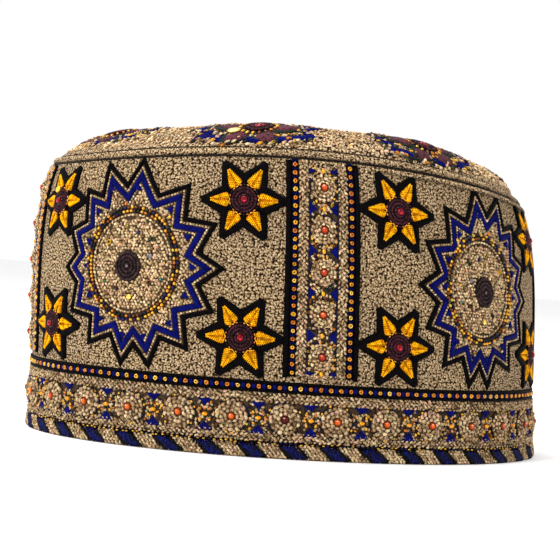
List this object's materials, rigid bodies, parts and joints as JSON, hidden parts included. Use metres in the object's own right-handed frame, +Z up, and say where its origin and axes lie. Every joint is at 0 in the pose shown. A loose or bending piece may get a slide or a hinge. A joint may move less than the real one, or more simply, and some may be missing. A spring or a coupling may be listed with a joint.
{
  "type": "embroidered cap",
  "caption": "Stiff oval brimless cap with a domed crown, piped seam and raised embroidered stars, flowers and rounds set with small stones.",
  "frame": {"origin": "middle of the cap's box, on the surface that the hem stands on", "axes": "+X along the long axis of the oval, -Y at the front, +Z up"},
  "size_m": [0.2036, 0.1584, 0.1196],
  "materials": {
    "ground_cloth": "dense beige chain stitch",
    "seam_cord": "braided beige cord",
    "hem_thread": "slanting dark and beige bars",
    "navy_thread": "navy satin stitch edged with black",
    "yellow_thread": "yellow satin stitch edged with black",
    "maroon_thread": "maroon thread",
    "red_stone": "polished dome"
  },
  "bodies": {
    "root": {"side_band": "ground_cloth", "crown_panel": "ground_cloth", "crown_piping": "seam_cord", "rim_hem": "hem_thread", "border_strip": "ground_cloth", "dotted_line": "navy_thread", "column_front": "ground_cloth", "column_right": "ground_cloth", "column_back": "ground_cloth", "column_left": "ground_cloth", "medallion_1": "navy_thread", "medallion_2": "navy_thread", "medallion_3": "navy_thread", "medallion_4": "navy_thread", "flower_1": "yellow_thread", "flower_stone_1": "red_stone", "flower_2": "yellow_thread", "flower_stone_2": "red_stone", "flower_3": "yellow_thread", "flower_stone_3": "red_stone", "flower_4": "yellow_thread", "flower_stone_4": "red_stone", "flower_5": "yellow_thread", "flower_stone_5": "red_stone", "flower_6": "yellow_thread", "flower_stone_6": "red_stone", "flower_7": "yellow_thread", "flower_stone_7": "red_stone", "flower_8": "yellow_thread", "flower_stone_8": "red_stone", "flower_9": "yellow_thread", "flower_stone_9": "red_stone", "flower_10": "yellow_thread", "flower_stone_10": "red_stone", "flower_11": "yellow_thread", "flower_stone_11": "red_stone", "flower_12": "yellow_thread", "flower_stone_12": "red_stone", "flower_13": "yellow_thread", "flower_stone_13": "red_stone", "flower_14": "yellow_thread", "flower_stone_14": "red_stone", "flower_15": "yellow_thread", "flower_stone_15": "red_stone", "flower_16": "yellow_thread", "flower_stone_16": "red_stone", "crown_flower_1": "maroon_thread", "crown_flower_2": "maroon_thread", "crown_flower_3": "maroon_thread", "crown_flower_4": "maroon_thread", "crown_flower_5": "maroon_thread", "crown_flower_6": "maroon_thread", "crown_flower_7": "maroon_thread", "crown_medallion": "navy_thread"}
  },
  "joints": []
}
